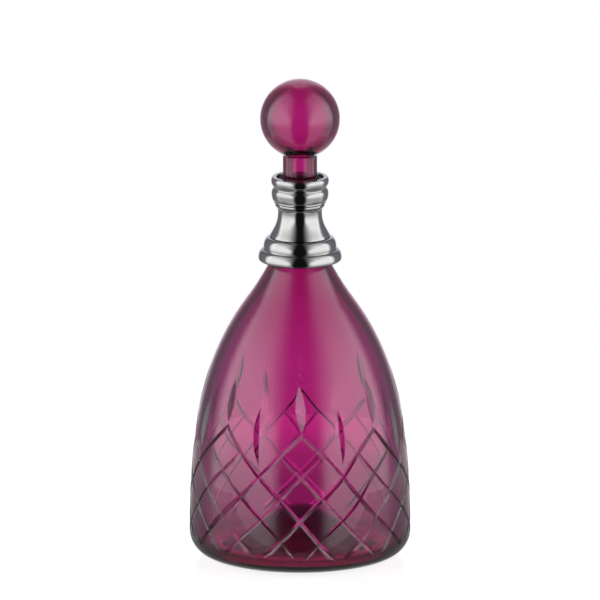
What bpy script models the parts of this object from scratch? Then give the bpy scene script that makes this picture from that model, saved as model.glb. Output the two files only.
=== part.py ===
"""Ball-stoppered perfume bottle: a hollow glass bottle, a stacked metal collar bedded round its
neck, and a hollow glass stopper on a moulded plug that carries two seal rings.

Metres, +Z up. The origin is the centre of the flat face that the bottle stands on, and every
piece is turned round the Z axis from an outline of (radius, height) points.
"""

import math

import bmesh
import bpy

# Fits
GAP = 0.0003  # between pieces that touch
SEAL_PLAY = 0.00015  # between a seal ring and the neck's bore
SEGMENTS = 40  # sides of a turned piece that shows
INNER_SEGMENTS = 24  # sides of a small turned piece inside

# Glass body
BODY_RADIUS = 0.05535
HEEL_RADIUS = 0.012
SHOULDER_RADIUS = 0.0259  # where the side turns from bulging to hollow
SHOULDER_HEIGHT = 0.1318
SHOULDER_SPREAD = 0.74  # radius gained for each height lost at the shoulder
BODY_UPRIGHT = 0.056  # how long the side holds upright above the heel
SHOULDER_STRAIGHT = 0.0305  # how long it holds the shoulder's slope below the shoulder
SWEEP_STRAIGHT = 0.0054  # and above it
SWEEP_UPRIGHT = 0.0094  # how long the sweep holds upright below the neck
SWEEP_HEIGHT = 0.0342  # from the shoulder up to the straight neck
BODY_WALL = 0.0037
SHOULDER_WALL = 0.0043  # thickest under the collar
WALL_EASE = 0.045  # from there down to where the wall is even
FLOOR_THICKNESS = 0.005  # where the floor meets the heel
FLOOR_RISE = 0.020  # the pushed-up floor's crown inside
FLOOR_CORNER = 0.0085
FOOT_RADIUS = 0.037  # the push-up under the base reaches this far out
FOOT_HOLLOW = 0.013  # and this far up

# Stopper
BALL_RADIUS = 0.020
BALL_WALL = 0.004
STEM_RADIUS = 0.0086
STEM_WALL = 0.0039
STEM_LENGTH = 0.01154
STEM_EDGE = 0.0005
SPIGOT_HEIGHT = 0.0021
PLUG_FLANGE = 0.0017
PLUG_LENGTH = 0.016
PLUG_PLAY = 0.0007
PLUG_TIP = 0.0012
GROOVE_WIDTH = 0.0025
FIRST_GROOVE = 0.0045  # from the plug's flange to the upper groove
GROOVE_SPACING = 0.006
SEAL_SECTION = 0.00095  # radius of a seal ring's round section
GROOVE_PLAY = 0.00025  # between a seal ring and its groove's floor
PIECE_EDGE = 0.0003  # small broken edges on the plug

# Neck and mouth
SEAT_WIDTH = 0.0013  # overlap of the plug's flange on the neck's rim
NECK_WALL = 0.0022
GASKET_THICKNESS = 0.0006
GASKET_INSET = 0.0002
MOUTH_GAP = 0.00315  # round the stem

# Collar, from the flange up to the lip
FLANGE_DROP = 0.01575  # from the straight neck's foot down to the flange's underside
FLANGE_HEIGHT = 0.00585
FLANGE_WIDTH = 0.0026
FLANGE_EDGE = (0.001, 0.00135)
FLANGE_START = 85  # where the flange's top curve leaves the bead, in degrees above level
BASE_RING_HEIGHT = 0.01205
LOWER_BEAD_WIDTH = 0.003
LOWER_BEAD_HEIGHT = 0.0051
REGISTER_HEIGHT = 0.0016  # the base ring's rim that the bell sits over
REGISTER_WALL = 0.0011
RING_BORE_HEIGHT = 0.0065
RING_CONE_HEIGHT = 0.0038
COLLAR_WALL = 0.00125
BELL_HEIGHT = 0.0154
BELL_FLARE = 0.00415
BELL_WAIST_DROP = 0.0033
BELL_SHOULDER = 0.00105
BELL_UPRIGHT = 0.54  # share of the drop that the bell's curve leaves the waist upright
BELL_LEVEL = (0.2, 0.21)  # how far in and up, in flares and drops, its foot's slope points
WAIST_RING_HEIGHT = 0.0013
WAIST_RING_WIDTH = 0.0014
CUP_HEIGHT = 0.0131
CUP_FILLET_WIDTH = 0.002
CUP_FILLET_HEIGHT = 0.001
LIP_WALL = 0.00275
LIP_BEAD = (0.001, 0.0021)
LIP_BEAD_END = -60  # in degrees above level
LIP_EDGE = 0.0006
CUP_GROOVE_DEPTH = 0.0011
CUP_GROOVE_DROP = 0.0056
CUP_BEAD_INSET = 0.0002
CUP_BEAD_WIDTH = 0.0014
CUP_BEAD_DROP = 0.0084
CUP_BEAD_RISE = 0.0027
CUP_BEAD_FALL = 0.004
CUP_BEAD_ENDS = (70, -65)  # in degrees above level
RECESS_DEPTH = 0.0036
BED_BOTTOM = 0.0025  # the bedding's foot above the flange's underside
BED_TOP = 0.002  # its top above the straight neck's foot

# Radii that follow
NECK_BORE = STEM_RADIUS - SEAT_WIDTH
NECK_RADIUS = NECK_BORE + NECK_WALL
COLLAR_BORE = NECK_RADIUS + GAP
WAIST_RADIUS = COLLAR_BORE + COLLAR_WALL
MOUTH_RADIUS = STEM_RADIUS + MOUTH_GAP
LIP_RADIUS = MOUTH_RADIUS + LIP_WALL
BELL_RADIUS = WAIST_RADIUS + BELL_FLARE
STEM_BORE = STEM_RADIUS - STEM_WALL
PLUG_RADIUS = NECK_BORE - PLUG_PLAY
SEAL_RADIUS = NECK_BORE - SEAL_PLAY
GROOVE_RADIUS = SEAL_RADIUS - 2 * SEAL_SECTION - GROOVE_PLAY

# Heights that follow
NECK_FOOT = SHOULDER_HEIGHT + SWEEP_HEIGHT
FLANGE_UNDERSIDE = NECK_FOOT - FLANGE_DROP
BASE_LEDGE = FLANGE_UNDERSIDE + BASE_RING_HEIGHT
REGISTER_TOP = BASE_LEDGE + REGISTER_HEIGHT
BELL_BOTTOM = BASE_LEDGE + GAP
BELL_TOP = BELL_BOTTOM + BELL_HEIGHT
WAIST_RING_BOTTOM = BELL_TOP + GAP
WAIST_RING_TOP = WAIST_RING_BOTTOM + WAIST_RING_HEIGHT
CUP_BOTTOM = WAIST_RING_TOP + GAP
LIP_TOP = CUP_BOTTOM + CUP_HEIGHT
RECESS_FLOOR = LIP_TOP - RECESS_DEPTH
NECK_TOP = RECESS_FLOOR + GAP
GASKET_BOTTOM = NECK_TOP + GAP
GASKET_TOP = GASKET_BOTTOM + GASKET_THICKNESS
SEAT_HEIGHT = GASKET_TOP + GAP
PLUG_FLANGE_TOP = SEAT_HEIGHT + PLUG_FLANGE
STEM_BOTTOM = PLUG_FLANGE_TOP + GAP
STEM_TOP = STEM_BOTTOM + STEM_LENGTH
BALL_CENTRE = STEM_TOP + math.sqrt(BALL_RADIUS**2 - STEM_RADIUS**2)


# Outlines


def arc(centre, radii, start, end, steps):
    """Points on an ellipse about centre, from one angle to another, in degrees above +radius."""
    angles = [math.radians(start + (end - start) * i / steps) for i in range(steps + 1)]
    return [(centre[0] + radii[0] * math.cos(a), centre[1] + radii[1] * math.sin(a)) for a in angles]


def bezier(ends, handles, steps):
    """Points on a cubic curve between two ends, shaped by two handles."""
    (p0, p3), (p1, p2) = ends, handles
    points = []
    for i in range(steps + 1):
        t = i / steps
        weights = ((1 - t) ** 3, 3 * t * (1 - t) ** 2, 3 * t * t * (1 - t), t**3)
        points.append(tuple(sum(w * p[k] for w, p in zip(weights, (p0, p1, p2, p3))) for k in (0, 1)))
    return points


def radius_at(outline, height):
    """Radius of an outline at a height, between the two points on either side of it."""
    for (r0, z0), (r1, z1) in zip(outline, outline[1:]):
        if min(z0, z1) <= height <= max(z0, z1) and z0 != z1:
            return r0 + (r1 - r0) * (height - z0) / (z1 - z0)
    raise ValueError(f"the outline doesn't reach height {height}")


def inset(outline, walls):
    """The outline moved towards the axis by a wall at each point, square to the outline."""
    moved = []
    for i, (r, z) in enumerate(outline):
        before, after = outline[max(i - 1, 0)], outline[min(i + 1, len(outline) - 1)]
        dr, dz = after[0] - before[0], after[1] - before[1]
        length = math.hypot(dr, dz)
        moved.append((r + walls[i] * dz / length, z - walls[i] * dr / length))
    return moved


def sweep_outline():
    """Outside of the glass from the straight neck's foot down to the shoulder."""
    neck = (NECK_RADIUS, NECK_FOOT)
    shoulder = (SHOULDER_RADIUS, SHOULDER_HEIGHT)
    handles = (
        (NECK_RADIUS, NECK_FOOT - SWEEP_UPRIGHT),
        (SHOULDER_RADIUS - SHOULDER_SPREAD * SWEEP_STRAIGHT, SHOULDER_HEIGHT + SWEEP_STRAIGHT),
    )
    return bezier((neck, shoulder), handles, 7)


def body_outline():
    """Outside of the glass from the shoulder down to the top of the heel."""
    shoulder = (SHOULDER_RADIUS, SHOULDER_HEIGHT)
    heel = (BODY_RADIUS, HEEL_RADIUS)
    handles = (
        (
            SHOULDER_RADIUS + SHOULDER_SPREAD * SHOULDER_STRAIGHT,
            SHOULDER_HEIGHT - SHOULDER_STRAIGHT,
        ),
        (BODY_RADIUS, HEEL_RADIUS + BODY_UPRIGHT),
    )
    return bezier((shoulder, heel), handles, 12)


def bell_outline():
    """Outside of the bell from its top edge, in to the waist and out to its bottom edge."""
    waist = (WAIST_RADIUS, BELL_TOP - BELL_WAIST_DROP)
    top = (WAIST_RADIUS + BELL_SHOULDER, BELL_TOP)
    bottom = (BELL_RADIUS, BELL_BOTTOM)
    upper_handles = (
        (WAIST_RADIUS + BELL_SHOULDER / 2, BELL_TOP - BELL_WAIST_DROP / 4),
        (WAIST_RADIUS, BELL_TOP - BELL_WAIST_DROP / 2),
    )
    drop = waist[1] - bottom[1]
    lower_handles = (
        (WAIST_RADIUS, waist[1] - BELL_UPRIGHT * drop),
        (BELL_RADIUS - BELL_LEVEL[0] * BELL_FLARE, BELL_BOTTOM + BELL_LEVEL[1] * drop),
    )
    return bezier((top, waist), upper_handles, 3) + bezier((waist, bottom), lower_handles, 6)[1:]


def bell_bore():
    """Inside of the bell: the neck's bore down to the waist, then a wall inside the flare."""
    waist_height = BELL_TOP - BELL_WAIST_DROP
    flare = [(r - COLLAR_WALL, z) for r, z in bell_outline() if z <= waist_height + GAP / 2]
    return [(COLLAR_BORE, BELL_TOP)] + flare


def crown(radius, foot, rise, steps):
    """One soft wave from a ring of that radius and height in to its crown on the axis."""
    points = []
    for i in range(1, steps + 1):
        share = (1 - math.cos(math.pi * i / steps)) / 2
        points.append((radius * (1 - i / steps), foot + rise * share))
    return points


def wall_at(height):
    """Thickness of the glass below the neck: it swells under the collar, then eases to an even
    wall."""
    swell = FLANGE_UNDERSIDE
    if height > swell:
        share = (NECK_FOOT - height) / (NECK_FOOT - swell)
        return NECK_WALL + (SHOULDER_WALL - NECK_WALL) * max(share, 0.0)
    share = min((swell - height) / WALL_EASE, 1.0)
    return SHOULDER_WALL + (BODY_WALL - SHOULDER_WALL) * share


def register_radius():
    """Outside of the base ring's rim, which fits inside the bell."""
    return radius_at(bell_bore(), REGISTER_TOP) - GAP


def ring_bore():
    """Bore of the flange, which clears the glass below it."""
    return radius_at(sweep_outline(), FLANGE_UNDERSIDE) + GAP


# Scene helpers


def clear_scene():
    for obj in list(bpy.data.objects):
        bpy.data.objects.remove(obj)


def material(name, colour, roughness, metallic=0.0, transmission=0.0):
    made = bpy.data.materials.new(name)
    made.use_nodes = True
    shader = made.node_tree.nodes["Principled BSDF"]
    shader.inputs["Base Color"].default_value = (*colour, 1.0)
    shader.inputs["Roughness"].default_value = roughness
    shader.inputs["Metallic"].default_value = metallic
    shader.inputs["Transmission Weight"].default_value = transmission
    made.diffuse_color = (*colour, 1.0)
    return made


def empty(name, height, parent=None):
    """A pivot on the Z axis at a height in the world."""
    pivot = bpy.data.objects.new(name, None)
    pivot.empty_display_size = BALL_RADIUS
    bpy.context.scene.collection.objects.link(pivot)
    pivot.parent = parent
    pivot.location.z = height - (parent.location.z if parent else 0.0)
    return pivot


def turned(name, outline, finish, parent, sides=SEGMENTS, closed=True):
    """One solid turned from an outline in the world's heights. An open outline starts and ends
    on the axis, and a closed one makes a ring."""
    base = parent.matrix_world.translation.z
    mesh = bpy.data.meshes.new(name)
    bm = bmesh.new()
    points = [bm.verts.new((r, 0.0, z - base)) for r, z in outline]
    edges = [bm.edges.new(pair) for pair in zip(points, points[1:])]
    if closed:
        edges.append(bm.edges.new((points[-1], points[0])))
    bmesh.ops.spin(
        bm, geom=points + edges, cent=(0, 0, 0), axis=(0, 0, 1), angle=math.tau, steps=sides,
        use_merge=True,
    )
    bmesh.ops.remove_doubles(bm, verts=bm.verts, dist=1e-7)
    bmesh.ops.dissolve_degenerate(bm, edges=bm.edges, dist=1e-7)
    bmesh.ops.recalc_face_normals(bm, faces=bm.faces)
    bm.to_mesh(mesh)
    bm.free()
    mesh.shade_smooth()
    mesh.set_sharp_from_angle(angle=math.radians(35))
    mesh.materials.append(finish)
    obj = bpy.data.objects.new(name, mesh)
    bpy.context.scene.collection.objects.link(obj)
    obj.parent = parent
    return obj


# Pieces of the bottle


def bottle_glass(finish, parent):
    """Hollow bottle, open at the neck, with a floor pushed up in the middle."""
    sweep = sweep_outline()
    body = body_outline()
    side = sweep + body[1:]
    inner_side = inset(side, [wall_at(z) for _, z in side])
    inner_side = [point for point in inner_side if point[1] > FLOOR_THICKNESS + FLOOR_CORNER]
    heel = arc((BODY_RADIUS - HEEL_RADIUS, HEEL_RADIUS), (HEEL_RADIUS, HEEL_RADIUS), 0, -90, 5)
    corner_centre = (BODY_RADIUS - BODY_WALL - FLOOR_CORNER, FLOOR_THICKNESS + FLOOR_CORNER)
    corner = arc(corner_centre, (FLOOR_CORNER, FLOOR_CORNER), 0, -90, 4)
    floor = crown(corner_centre[0], FLOOR_THICKNESS, FLOOR_RISE, 7)
    hollow = [(FOOT_RADIUS, 0.0)] + crown(FOOT_RADIUS, 0.0, FOOT_HOLLOW, 7)
    rim = [(NECK_BORE, NECK_TOP), (NECK_RADIUS, NECK_TOP)]
    outside = rim + side + heel[1:] + hollow
    inside = inner_side + corner + floor
    outline = inside[::-1] + outside
    return turned("bottle_glass", outline, finish, parent, closed=False)


def collar_base_ring(finish, parent):
    """Flange and lower bead, with a rim on top that the bell sits over."""
    ledge_radius = BELL_RADIUS + GAP / 3
    bead_height = BASE_LEDGE - LOWER_BEAD_HEIGHT
    bead = arc((ledge_radius, bead_height), (LOWER_BEAD_WIDTH, LOWER_BEAD_HEIGHT), 90, 0, 5)
    root_radius = ledge_radius + LOWER_BEAD_WIDTH
    edge_width, edge_height = FLANGE_EDGE
    flange_centre = (root_radius, FLANGE_UNDERSIDE + edge_height)
    flange_rise = FLANGE_HEIGHT - edge_height
    flange = arc(flange_centre, (FLANGE_WIDTH, flange_rise), FLANGE_START, 0, 5)
    rim_radius = root_radius + FLANGE_WIDTH
    rim = arc((rim_radius - edge_width, flange_centre[1]), FLANGE_EDGE, 0, -90, 3)
    bore = ring_bore()
    register = register_radius()
    register_bore = register - REGISTER_WALL
    cone_foot = FLANGE_UNDERSIDE + RING_BORE_HEIGHT
    outline = [(register_bore, REGISTER_TOP), (register, REGISTER_TOP), (register, BASE_LEDGE)]
    outline += bead + flange + rim[1:]
    outline += [
        (bore, FLANGE_UNDERSIDE),
        (bore, cone_foot),
        (register_bore, cone_foot + RING_CONE_HEIGHT),
    ]
    return turned("collar_base_ring", outline, finish, parent)


def collar_bell(finish, parent):
    return turned("collar_bell", bell_outline() + bell_bore()[::-1], finish, parent)


def collar_waist_ring(finish, parent):
    """Thin fillet ring between the bell and the cup."""
    radius = WAIST_RADIUS + WAIST_RING_WIDTH
    outline = [
        (COLLAR_BORE, WAIST_RING_TOP),
        (radius - PIECE_EDGE, WAIST_RING_TOP),
        (radius, WAIST_RING_TOP - PIECE_EDGE),
        (radius, WAIST_RING_BOTTOM + PIECE_EDGE),
        (radius - PIECE_EDGE, WAIST_RING_BOTTOM),
        (COLLAR_BORE, WAIST_RING_BOTTOM),
    ]
    return turned("collar_waist_ring", outline, finish, parent)


def collar_cup(finish, parent):
    """Two beads and a groove outside, and the mouth's recess above the neck's bore."""
    mouth_edge = arc((MOUTH_RADIUS + LIP_EDGE, LIP_TOP - LIP_EDGE), (LIP_EDGE, LIP_EDGE), 180, 90, 2)
    bead_width, bead_height = LIP_BEAD
    lip = arc((LIP_RADIUS - bead_width, LIP_TOP - bead_height), LIP_BEAD, 90, LIP_BEAD_END, 6)
    groove = [(LIP_RADIUS - CUP_GROOVE_DEPTH, LIP_TOP - CUP_GROOVE_DROP)]
    bead_centre = (LIP_RADIUS - CUP_BEAD_INSET - CUP_BEAD_WIDTH, LIP_TOP - CUP_BEAD_DROP)
    start, end = CUP_BEAD_ENDS
    bead = arc(bead_centre, (CUP_BEAD_WIDTH, CUP_BEAD_RISE), start, 0, 3)
    bead += arc(bead_centre, (CUP_BEAD_WIDTH, CUP_BEAD_FALL), 0, end, 4)[1:]
    fillet_radius = WAIST_RADIUS + CUP_FILLET_WIDTH
    outline = mouth_edge + lip + groove + bead
    outline += [
        (fillet_radius, CUP_BOTTOM + CUP_FILLET_HEIGHT),
        (fillet_radius, CUP_BOTTOM),
        (COLLAR_BORE, CUP_BOTTOM),
        (COLLAR_BORE, RECESS_FLOOR),
        (MOUTH_RADIUS, RECESS_FLOOR),
    ]
    return turned("collar_cup", outline, finish, parent)


def cement_bed(finish, parent):
    """Set bedding between the glass and the collar, from inside the flange up into the bell."""
    glass = [(NECK_RADIUS, NECK_TOP)] + sweep_outline()
    bell = bell_bore()
    register_bore = register_radius() - REGISTER_WALL
    bottom = FLANGE_UNDERSIDE + BED_BOTTOM
    top = NECK_FOOT + BED_TOP
    cone_foot = FLANGE_UNDERSIDE + RING_BORE_HEIGHT - GAP
    cone_top = cone_foot + RING_CONE_HEIGHT
    outside = [(min(radius_at(bell, z), register_bore) - GAP, z) for z in (top, NECK_FOOT, REGISTER_TOP)]
    outside += [(register_bore - GAP, cone_top), (ring_bore() - GAP, cone_foot), (ring_bore() - GAP, bottom)]
    steps = 5
    heights = [bottom + (top - bottom) * i / steps for i in range(steps + 1)]
    inside = [(radius_at(glass, z) + GAP, z) for z in heights]
    return turned("cement_bed", outside + inside, finish, parent, INNER_SEGMENTS)


def neck_gasket(finish, parent):
    """Soft washer on the neck's rim, which the plug's flange rests on."""
    inner = NECK_BORE + GASKET_INSET
    outer = NECK_RADIUS - GASKET_INSET
    outline = [(inner, GASKET_TOP), (outer, GASKET_TOP), (outer, GASKET_BOTTOM), (inner, GASKET_BOTTOM)]
    return turned("neck_gasket", outline, finish, parent, INNER_SEGMENTS)


# Pieces of the stopper


def groove_centre(index):
    return SEAT_HEIGHT - FIRST_GROOVE - index * GROOVE_SPACING - GROOVE_WIDTH / 2


def stopper_plug(finish, parent):
    """Spigot inside the stem, flange on the gasket, and a shank with two grooves in the neck."""
    spigot = STEM_BORE - GAP
    spigot_top = PLUG_FLANGE_TOP + SPIGOT_HEIGHT
    outline = [(0.0, spigot_top), (spigot - PIECE_EDGE, spigot_top), (spigot, spigot_top - PIECE_EDGE)]
    outline += [(spigot, PLUG_FLANGE_TOP), (STEM_RADIUS - PIECE_EDGE, PLUG_FLANGE_TOP)]
    outline += [(STEM_RADIUS, PLUG_FLANGE_TOP - PIECE_EDGE), (STEM_RADIUS, SEAT_HEIGHT + PIECE_EDGE)]
    outline += [(STEM_RADIUS - PIECE_EDGE, SEAT_HEIGHT), (PLUG_RADIUS, SEAT_HEIGHT)]
    for index in (0, 1):
        top = groove_centre(index) + GROOVE_WIDTH / 2
        bottom = top - GROOVE_WIDTH
        outline += [(PLUG_RADIUS, top), (GROOVE_RADIUS, top)]
        outline += [(GROOVE_RADIUS, bottom), (PLUG_RADIUS, bottom)]
    tip = SEAT_HEIGHT - PLUG_LENGTH
    outline += [(PLUG_RADIUS, tip + PLUG_TIP), (PLUG_RADIUS - PLUG_TIP, tip), (0.0, tip)]
    return turned("stopper_plug", outline, finish, parent, INNER_SEGMENTS, closed=False)


def seal_ring(name, index, finish, parent):
    """Round-section ring in one of the plug's grooves."""
    centre = (SEAL_RADIUS - SEAL_SECTION, groove_centre(index))
    outline = arc(centre, (SEAL_SECTION, SEAL_SECTION), 90, -225, 7)
    return turned(name, outline, finish, parent, INNER_SEGMENTS)


def stopper_glass(finish, parent):
    """Hollow ball and stem in one, open at the stem's bottom."""
    meeting = -math.degrees(math.acos(STEM_RADIUS / BALL_RADIUS))
    ball = arc((0, BALL_CENTRE), (BALL_RADIUS, BALL_RADIUS), 90, 0, 7)
    ball += arc((0, BALL_CENTRE), (BALL_RADIUS, BALL_RADIUS), 0, meeting, 5)[1:]
    stem_edge = arc(
        (STEM_RADIUS - STEM_EDGE, STEM_BOTTOM + STEM_EDGE), (STEM_EDGE, STEM_EDGE), 0, -90, 2
    )
    hollow_radius = BALL_RADIUS - BALL_WALL
    mouth = -math.degrees(math.acos(STEM_BORE / hollow_radius))
    hollow = arc((0, BALL_CENTRE), (hollow_radius, hollow_radius), mouth, 90, 11)
    outline = ball + stem_edge + [(STEM_BORE, STEM_BOTTOM)] + hollow
    return turned("stopper_glass", outline, finish, parent, closed=False)


def main():
    clear_scene()
    plum = material("plum_glass", (0.30, 0.012, 0.115), 0.03, transmission=1.0)
    metal = material("polished_metal", (0.72, 0.72, 0.71), 0.08, metallic=1.0)
    cement = material("cement", (0.72, 0.70, 0.66), 0.85)
    gasket = material("gasket", (0.55, 0.55, 0.54), 0.5)
    seal = material("seal", (0.10, 0.10, 0.10), 0.45)
    moulded = material("moulded_plug", (0.045, 0.012, 0.022), 0.35)

    bottle = empty("bottle_origin", 0.0)
    lift = empty("stopper_lift_axis", SEAT_HEIGHT, bottle)
    twist = empty("stopper_twist_axis", SEAT_HEIGHT, lift)
    bpy.context.view_layer.update()

    bottle_glass(plum, bottle)
    collar_base_ring(metal, bottle)
    collar_bell(metal, bottle)
    collar_waist_ring(metal, bottle)
    collar_cup(metal, bottle)
    cement_bed(cement, bottle)
    neck_gasket(gasket, bottle)
    seal_ring("seal_ring_upper", 0, seal, lift)
    seal_ring("seal_ring_lower", 1, seal, lift)
    stopper_plug(moulded, twist)
    stopper_glass(plum, twist)


main()
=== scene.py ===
"""Cut-glass perfume bottle: the looks of its glass, metal collar, stopper and inner pieces,
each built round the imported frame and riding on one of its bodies.

Lengths are metres. Every piece is turned about the Z axis: a Geometry Nodes tree repeats one
narrow sector of it all the way round. The body's sector carries one repeat of the cut pattern,
meshed so that every crease is an edge.
"""

import math

import bmesh
import bpy
import numpy as np
from bpy.props import FloatProperty, FloatVectorProperty, IntProperty, PointerProperty
from bpy.types import Operator, Panel, PropertyGroup
from mathutils import Matrix, Vector
from mathutils.geometry import delaunay_2d_cdt


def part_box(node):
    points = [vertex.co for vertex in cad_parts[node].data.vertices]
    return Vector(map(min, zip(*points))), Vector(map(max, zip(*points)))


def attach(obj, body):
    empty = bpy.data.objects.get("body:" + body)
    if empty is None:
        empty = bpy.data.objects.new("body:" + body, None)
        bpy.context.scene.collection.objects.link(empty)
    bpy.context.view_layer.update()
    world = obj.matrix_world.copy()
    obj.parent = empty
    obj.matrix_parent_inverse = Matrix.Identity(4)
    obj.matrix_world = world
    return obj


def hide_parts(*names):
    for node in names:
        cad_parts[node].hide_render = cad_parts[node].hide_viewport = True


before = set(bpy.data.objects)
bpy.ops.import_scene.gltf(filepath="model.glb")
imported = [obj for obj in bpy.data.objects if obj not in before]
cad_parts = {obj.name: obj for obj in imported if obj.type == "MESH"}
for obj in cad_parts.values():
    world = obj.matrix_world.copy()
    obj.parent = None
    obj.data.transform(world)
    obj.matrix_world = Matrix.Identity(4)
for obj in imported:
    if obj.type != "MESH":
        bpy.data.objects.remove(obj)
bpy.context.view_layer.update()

bl_info = {
    "name": "Cut Glass Perfume Bottle",
    "version": (1, 0, 0),
    "blender": (4, 5, 0),
    "location": "View3D > Sidebar > Perfume Bottle",
    "description": "Builds a stoppered cut-glass perfume bottle with a polished metal collar",
    "category": "Add Mesh",
}

GAP = 0.0003  # between pieces that touch
SEAM = 2e-6  # points nearer than this are one
CREASE = math.radians(22)  # a sharper edge than this shades as a crease
LIP = 0.0004  # round of the glass rim's edges
CURVE_STEPS = 60  # in the neck's curve, where metal and bedding follow it
FINE_SIDES = 96  # round the small inner pieces
WHITE = (1.0, 1.0, 1.0)


def top_of(node):
    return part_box(node)[1].z


def foot_of(node):
    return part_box(node)[0].z


def span_of(node):
    return foot_of(node), top_of(node)


def radius_of(node):
    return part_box(node)[1].x


# ---- settings


def length(text, default):
    return FloatProperty(
        description=text, default=default, min=0.0, subtype="DISTANCE", unit="LENGTH"
    )


def tint(text, default):
    return FloatVectorProperty(
        description=text, default=default, size=3, min=0.0, max=1.0, subtype="COLOR"
    )


def number(text, default, least=0.0, most=1000.0):
    return FloatProperty(description=text, default=default, min=least, max=most)


def degrees(text, default):
    return FloatProperty(description=text, default=math.radians(default), subtype="ANGLE")


def count(text, default, least):
    return IntProperty(description=text, default=default, min=least)


class BodyShape(PropertyGroup):
    """Outline of the glass body."""

    radius: length("Widest radius, above the heel", radius_of("bottle_glass"))
    heel: length("Radius of the round heel", 0.012)
    shoulder_radius: length("Where the side turns hollow", 0.0259)
    shoulder_height: length("Where the side turns hollow", 0.1318)
    shoulder_spread: number("Radius gained per height lost", 0.74)
    upright: length("How long the side holds upright above the heel", 0.056)
    straight: length("How long it holds the shoulder's slope below it", 0.0305)
    sweep_straight: length("How long it holds that slope above", 0.0054)
    sweep_upright: length("Upright run below the neck", 0.0094)
    sweep_height: length("From the shoulder to the straight neck", 0.0342)
    neck_radius: length("Outside of the neck", 0.0095)
    neck_bore: length("Inside of the neck", 0.0073)
    shoulder_wall: length("Glass thickness under the collar", 0.0043)
    belly_wall: length("Glass thickness half way up", 0.0037)
    low_wall: length("Glass thickness above the floor", 0.0037)
    floor: length("Thickness of the glass floor at its low ring", 0.005)
    floor_rise: length("Crown of the inside floor", 0.020)
    floor_corner: length("Round between floor and wall", 0.0085)
    foot_radius: length("Radius of the hollow under the base", 0.037)
    foot_hollow: length("Depth of the hollow under the base", 0.013)


class CutPattern(PropertyGroup):
    """Wheel-cut diamonds and leaves round the body."""

    sectors: count("Repeats round the body", 8, least=3)
    columns: count("Mesh columns in a sector", 32, least=8)
    first_row: length("Height of the topmost crossings", 0.0723)
    pitch: length("Distance between rows, along the glass", 0.022)
    end_row: number("Where the grooves run out, in rows", 2.9)
    run_out: number("Length of the taper at a groove's foot, in rows", 0.1)
    wide_groove: length("Width of the grooves from the top crossings", 0.0023)
    narrow_groove: length("Width of the grooves between them", 0.0017)
    leaf: length("Width of the upright leaf cuts", 0.0056)
    leaf_bevel: number("Depth of a leaf over its half width", 0.42)
    bevel: number("Depth of a cut over its half width", 0.55)
    high_leaf: length("Height of the high leaf's middle", 0.0855)
    high_leaf_length: length("Along the glass", 0.0230)
    low_leaf: length("Height of the low leaf's middle", 0.0705)
    low_leaf_length: length("Along the glass", 0.0280)
    wander: length("How far hand cutting strays along the glass", 0.0006)
    turn: degrees("Pattern's turn about the axis", 0.0)


class CollarShape(PropertyGroup):
    """Turned metal collar round the neck."""

    wall: length("Metal thickness of the bell", 0.00125)
    flange_height: length("Height of the flange", 0.00585)
    flange_width: length("Reach of the flange past the bead", 0.0026)
    bead_width: length("Reach of the lower bead", 0.003)
    bead_height: length("Drop of the lower bead", 0.0051)
    bell_flare: length("How far the bell opens below its waist", 0.00415)
    waist_drop: length("From the bell's top to its waist", 0.0033)
    lip_wall: length("Metal thickness at the lip", 0.00275)
    recess: length("Depth of the mouth", 0.0036)


class StopperShape(PropertyGroup):
    """Glass ball and stem, and the plug below them."""

    ball: length("Radius of the ball", 0.02)
    ball_wall: length("Glass thickness of the ball", 0.004)
    stem: length("Radius of the stem", 0.0086)
    stem_wall: length("Glass thickness of the stem", 0.0039)
    fillet: length("Round where the stem meets the ball", 0.0012)
    seal_section: length("Radius of a seal ring's round section", 0.00095)


class Finishes(PropertyGroup):
    """Colours of the materials."""

    glass_colour: tint("What the glass lets through", (0.794, 0.052, 0.588))
    glass_depth: number("How strongly the glass colours, per metre", 630.0, 0.0, 5000.0)
    # painted edge light: violet for the glass seen edge on, standing in for reflected light
    flash: tint("Violet flash of the glass seen edge on", (0.56, 0.6, 1.0))
    metal: tint("Polished collar", (0.30, 0.30, 0.298))
    bedding: tint("Set bedding between glass and collar", (0.72, 0.70, 0.66))
    gasket: tint("Soft washer on the neck", (0.55, 0.55, 0.54))
    seal: tint("Seal rings", (0.05, 0.05, 0.05))
    plug: tint("Moulded plug", (0.045, 0.012, 0.022))
    floor: tint("Surface under the bottle", (0.35, 0.35, 0.35))


class StageSetup(PropertyGroup):
    """Camera and studio."""

    distance: length("Camera from the bottle's middle", 12.0)
    pitch: degrees("How far the camera looks down", 13.2)
    aim: length("Height that the camera looks at", 0.1295)
    lens: number("Focal length in millimetres", 1440.0, 1.0, 5000.0)
    softbox: number("Brightness of the two front softboxes", 2.6)
    gap: degrees("Half the dark gap between the softboxes", 21)


class PerfumeBottle(PropertyGroup):
    """All the settings of the bottle."""

    body: PointerProperty(type=BodyShape)
    cuts: PointerProperty(type=CutPattern)
    collar: PointerProperty(type=CollarShape)
    stopper: PointerProperty(type=StopperShape)
    finishes: PointerProperty(type=Finishes)
    stage: PointerProperty(type=StageSetup)


# ---- outlines


def arc(centre, radii, start, end, steps):
    """Points on an ellipse about centre, from one angle to another, in degrees above +radius."""
    angles = np.radians(np.linspace(start, end, steps + 1))
    return [(centre[0] + radii[0] * math.cos(a), centre[1] + radii[1] * math.sin(a)) for a in angles]


def bezier(ends, handles, steps):
    """Points on a cubic curve between two ends, shaped by two handles."""
    p = np.array([ends[0], handles[0], handles[1], ends[1]])
    t = np.linspace(0, 1, steps + 1)[:, None]
    curve = (1 - t) ** 3 * p[0] + 3 * t * (1 - t) ** 2 * p[1] + 3 * t * t * (1 - t) * p[2] + t**3 * p[3]
    return [tuple(point) for point in curve]


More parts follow.
